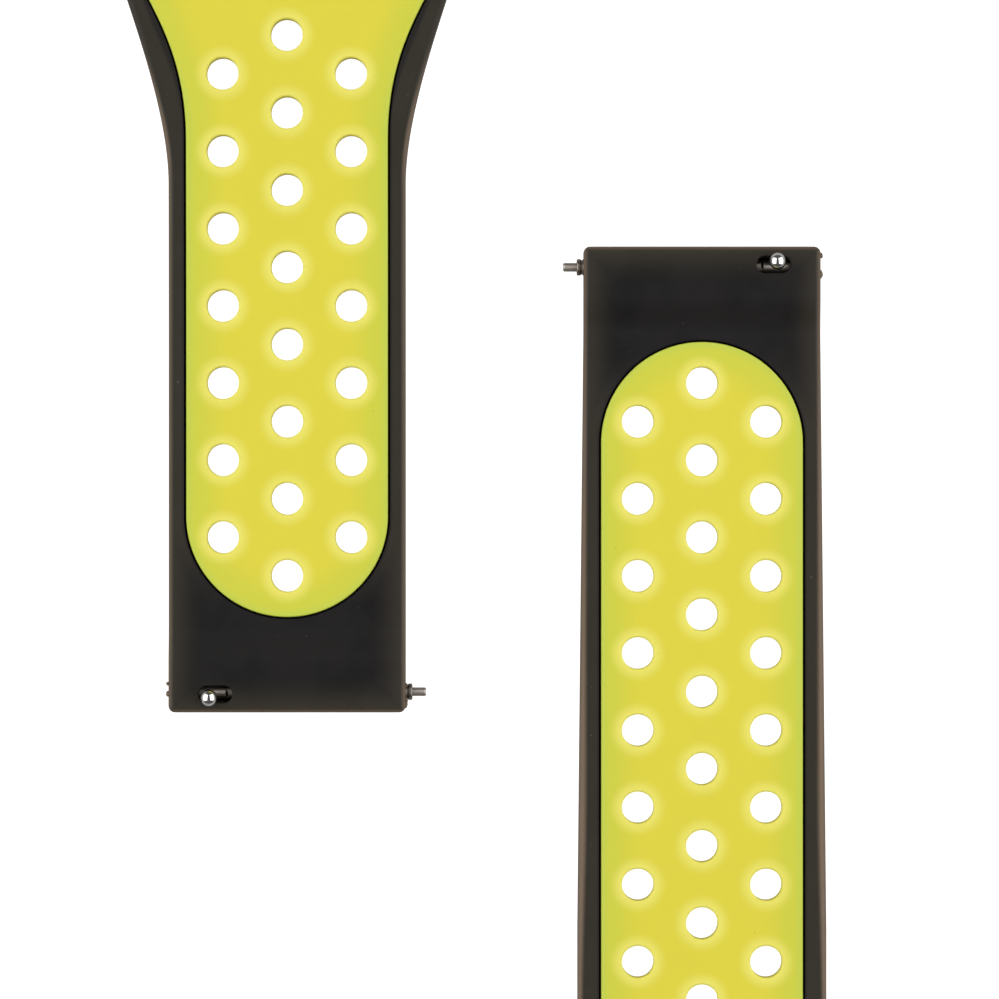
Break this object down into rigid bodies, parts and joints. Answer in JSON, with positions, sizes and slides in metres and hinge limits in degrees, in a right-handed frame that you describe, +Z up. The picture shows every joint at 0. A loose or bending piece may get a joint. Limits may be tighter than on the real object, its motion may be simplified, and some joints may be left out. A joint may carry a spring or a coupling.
{
  "type": "watch strap",
  "caption": "Perforated silicone sports watch strap in two halves, dark with a bright inlaid liner, a pin-and-tuck closure and quick-release spring bars.",
  "frame": {"origin": "on the surface the pair lies on, under the middle of the pair's box", "axes": "+Z up, out of the wrist side; +Y along both halves, from the short half's lug end to its tip; +X across them, from the short half to the long half"},
  "size_m": [0.065, 0.176, 0.0066],
  "materials": {
    "dark_silicone": "matte moulded silicone, soft satin sheen",
    "bright_silicone": "matte moulded silicone, slightly translucent",
    "polished_steel": "polished stainless steel",
    "turned_steel": "turned stainless steel, fine lathe lines"
  },
  "bodies": {
    "long_strap": {"long_strap_shell": "dark_silicone", "long_strap_liner": "bright_silicone"},
    "long_bar": {"long_bar_barrel": "turned_steel", "long_bar_fixed_tip": "turned_steel", "long_bar_spring": "turned_steel"},
    "long_release": {"long_bar_sprung_tip": "turned_steel", "long_bar_lever": "polished_steel"},
    "short_strap": {"short_strap_shell": "dark_silicone", "short_strap_liner": "bright_silicone", "closure_stud": "polished_steel", "stud_base_disc": "polished_steel"},
    "short_bar": {"short_bar_barrel": "turned_steel", "short_bar_fixed_tip": "turned_steel", "short_bar_spring": "turned_steel"},
    "short_release": {"short_bar_sprung_tip": "turned_steel", "short_bar_lever": "polished_steel"}
  },
  "joints": [
    {"name": "long_bar_float", "type": "slide", "parent": "long_strap", "child": "long_bar", "axis": [1, 0, 0], "range_m": [-0.0005, 0.0004]},
    {"name": "long_lever_release", "type": "slide", "parent": "long_bar", "child": "long_release", "axis": [-1, 0, 0], "range_m": [0, 0.0012], "stiffness_N_per_m": 1200, "springref_m": -0.0012, "deforming": ["long_bar_spring"]},
    {"name": "short_half_lift", "type": "slide", "parent": "long_strap", "child": "short_strap", "axis": [0, 0, 1], "range_m": [0, 0.02]},
    {"name": "short_bar_float", "type": "slide", "parent": "short_strap", "child": "short_bar", "axis": [-1, 0, 0], "range_m": [-0.0005, 0.0004]},
    {"name": "short_lever_release", "type": "slide", "parent": "short_bar", "child": "short_release", "axis": [1, 0, 0], "range_m": [0, 0.0012], "stiffness_N_per_m": 1200, "springref_m": -0.0012, "deforming": ["short_bar_spring"]}
  ]
}
